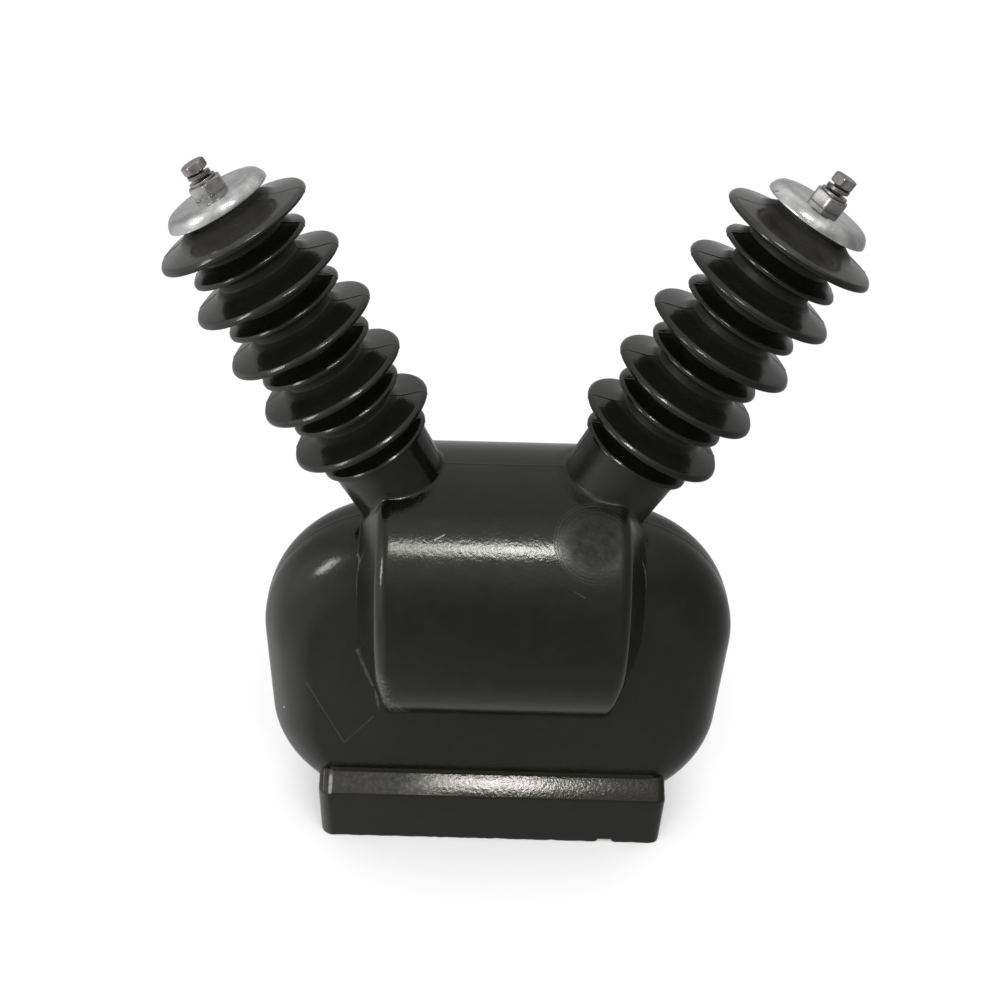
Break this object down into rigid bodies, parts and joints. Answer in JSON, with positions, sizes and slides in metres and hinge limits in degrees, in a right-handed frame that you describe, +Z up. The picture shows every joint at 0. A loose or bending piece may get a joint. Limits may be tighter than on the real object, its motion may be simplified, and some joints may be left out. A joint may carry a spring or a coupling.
{
  "type": "outdoor potential transformer",
  "caption": "Cast-resin outdoor potential transformer: winding barrel across a rounded core casing on a plinth, with ribbed bushings leaning outwards to metal-capped terminals.",
  "frame": {"origin": "centre of the plinth's flat underside", "axes": "+Z up; X along the barrel, in the plane of the two bushings; +Y towards the secondary terminal box at the rear"},
  "size_m": [0.4088, 0.1928, 0.5092],
  "materials": {
    "resin": "satin moulded",
    "cap_metal": "polished, pressed",
    "post_metal": "plated",
    "fastener_steel": "zinc plated, weathered",
    "insert_brass": "turned",
    "seal_rubber": "matte",
    "cover_metal": "satin",
    "gland_plastic": "moulded"
  },
  "bodies": {
    "root": {"body_casting": "resin", "left_bushing": "resin", "right_bushing": "resin", "left_terminal_cap": "cap_metal", "right_terminal_cap": "cap_metal", "left_terminal_post": "post_metal", "right_terminal_post": "post_metal", "left_flat_washer": "fastener_steel", "right_flat_washer": "fastener_steel", "left_spring_washer": "fastener_steel", "right_spring_washer": "fastener_steel", "left_terminal_bolt": "fastener_steel", "right_terminal_bolt": "fastener_steel", "base_inserts": "insert_brass", "box_gasket": "seal_rubber", "box_cover": "cover_metal", "cover_screws": "fastener_steel", "gland_body": "gland_plastic", "gland_nut": "gland_plastic", "gland_seal": "seal_rubber", "earth_insert": "insert_brass", "earth_flat_washer": "fastener_steel", "earth_spring_washer": "fastener_steel", "earth_bolt": "fastener_steel", "rating_plate": "cover_metal", "plate_rivets": "cover_metal"}
  },
  "joints": []
}
